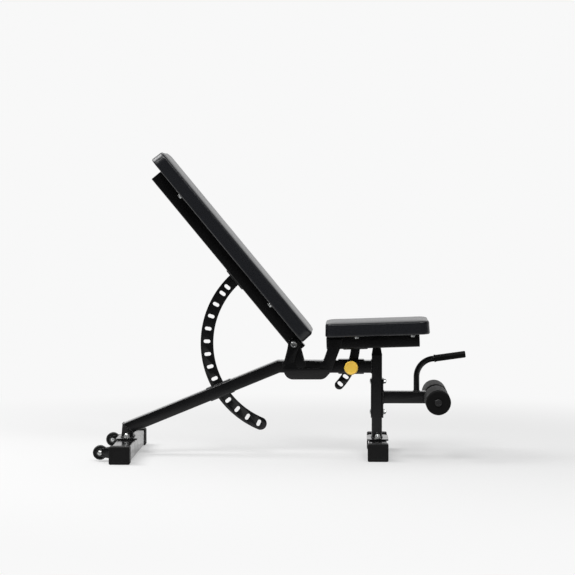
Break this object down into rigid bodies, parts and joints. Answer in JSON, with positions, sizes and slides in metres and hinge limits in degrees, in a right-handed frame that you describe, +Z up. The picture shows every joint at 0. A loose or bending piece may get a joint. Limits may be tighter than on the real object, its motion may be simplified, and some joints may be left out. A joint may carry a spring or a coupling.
{
  "type": "adjustable weight bench",
  "caption": "Incline and decline weight bench: padded back on a notched ladder arc, tilting seat, foam leg rollers, pull handle, cross feet and transport wheels.",
  "frame": {"origin": "on the floor under the middle of the bench's overall box", "axes": "+X from the head end to the foot end, +Y to the left of a person sitting on the bench, +Z up"},
  "size_m": [1.2079, 0.6, 0.9936],
  "materials": {
    "frame_steel": "semi-gloss black powder coat",
    "pad_vinyl": "black coated vinyl over foam",
    "foot_rubber": "matte black rubber",
    "roller_foam": "closed-cell black foam",
    "wheel_rubber": "moulded black wheel",
    "zinc_hardware": "bright zinc plate",
    "knob_plastic": "satin yellow plastic",
    "black_nylon": "moulded black nylon",
    "pad_board": "board with black backing cloth"
  },
  "bodies": {
    "frame": {"main_tube": "frame_steel", "rear_leg": "frame_steel", "front_post": "frame_steel", "rear_foot_tube": "frame_steel", "front_foot_tube": "frame_steel", "leg_holder_arm": "frame_steel", "leg_holder_backing_plate": "frame_steel", "handle_tube": "frame_steel", "roller_axle": "frame_steel", "pivot_cheek_left": "frame_steel", "pivot_cheek_right": "frame_steel", "wheel_bracket_left": "frame_steel", "wheel_bracket_right": "frame_steel", "front_post_cap": "foot_rubber", "handle_grip": "foot_rubber", "rear_foot_cap_left": "foot_rubber", "rear_foot_cap_right": "foot_rubber", "front_foot_cap_left": "foot_rubber", "front_foot_cap_right": "foot_rubber", "pivot_bolt": "zinc_hardware", "pivot_nut": "zinc_hardware", "leg_holder_bolt_lower": "zinc_hardware", "leg_holder_bolt_upper": "zinc_hardware", "wheel_bolt_left": "zinc_hardware", "wheel_bolt_right": "zinc_hardware", "rear_foot_bolt_left": "zinc_hardware", "rear_foot_bolt_right": "zinc_hardware", "front_foot_bolt_left": "zinc_hardware", "front_foot_bolt_right": "zinc_hardware", "roller_end_cap_left": "black_nylon", "roller_end_cap_right": "black_nylon", "back_pin_barrel": "frame_steel", "seat_pin_barrel": "frame_steel"},
    "back": {"back_tube": "frame_steel", "back_pivot_sleeve": "frame_steel", "back_pivot_bush_left": "black_nylon", "back_pivot_bush_right": "black_nylon", "back_bracket_lower": "frame_steel", "back_bracket_upper": "frame_steel", "back_ladder": "frame_steel", "back_pad_board": "pad_board", "back_pad": "pad_vinyl"},
    "seat": {"seat_tube": "frame_steel", "seat_side_plate_left": "frame_steel", "seat_side_plate_right": "frame_steel", "seat_bracket_rear": "frame_steel", "seat_bracket_front": "frame_steel", "seat_ladder": "frame_steel", "seat_pad_board": "pad_board", "seat_pad": "pad_vinyl"},
    "back_pin": {"back_pin_plunger": "zinc_hardware", "back_pin_knob": "knob_plastic", "back_pin_spring": "zinc_hardware"},
    "seat_pin": {"seat_pin_plunger": "zinc_hardware", "seat_pin_knob": "knob_plastic", "seat_pin_spring": "zinc_hardware"},
    "wheel_left": {"wheel_left": "wheel_rubber"},
    "roller_left": {"foam_roller_left": "roller_foam"},
    "wheel_right": {"wheel_right": "wheel_rubber"},
    "roller_right": {"foam_roller_right": "roller_foam"}
  },
  "joints": [
    {"name": "back_tilt", "type": "hinge", "parent": "frame", "child": "back", "pos_m": [0.0396, 0, 0.3683], "axis": [0, 1, 0], "range_deg": [-72.4, 33.6]},
    {"name": "seat_tilt", "type": "hinge", "parent": "frame", "child": "seat", "pos_m": [0.0396, 0, 0.3683], "axis": [0, -1, 0], "range_deg": [0, 19.5]},
    {"name": "back_pin_pull", "type": "slide", "parent": "frame", "child": "back_pin", "axis": [0, 1, 0], "range_m": [0, 0.01], "stiffness_N_per_m": 1200},
    {"name": "seat_pin_pull", "type": "slide", "parent": "frame", "child": "seat_pin", "axis": [0, -1, 0], "range_m": [0, 0.01], "stiffness_N_per_m": 1200},
    {"name": "wheel_left_spin", "type": "hinge", "parent": "frame", "child": "wheel_left", "pos_m": [-0.5807, 0.1975, 0.028], "axis": [0, 1, 0], "continuous": true},
    {"name": "roller_left_spin", "type": "hinge", "parent": "frame", "child": "roller_left", "pos_m": [0.5065, 0.1165, 0.192], "axis": [0, 1, 0], "continuous": true},
    {"name": "wheel_right_spin", "type": "hinge", "parent": "frame", "child": "wheel_right", "pos_m": [-0.5807, -0.1975, 0.028], "axis": [0, 1, 0], "continuous": true},
    {"name": "roller_right_spin", "type": "hinge", "parent": "frame", "child": "roller_right", "pos_m": [0.5065, -0.1165, 0.192], "axis": [0, 1, 0], "continuous": true}
  ]
}
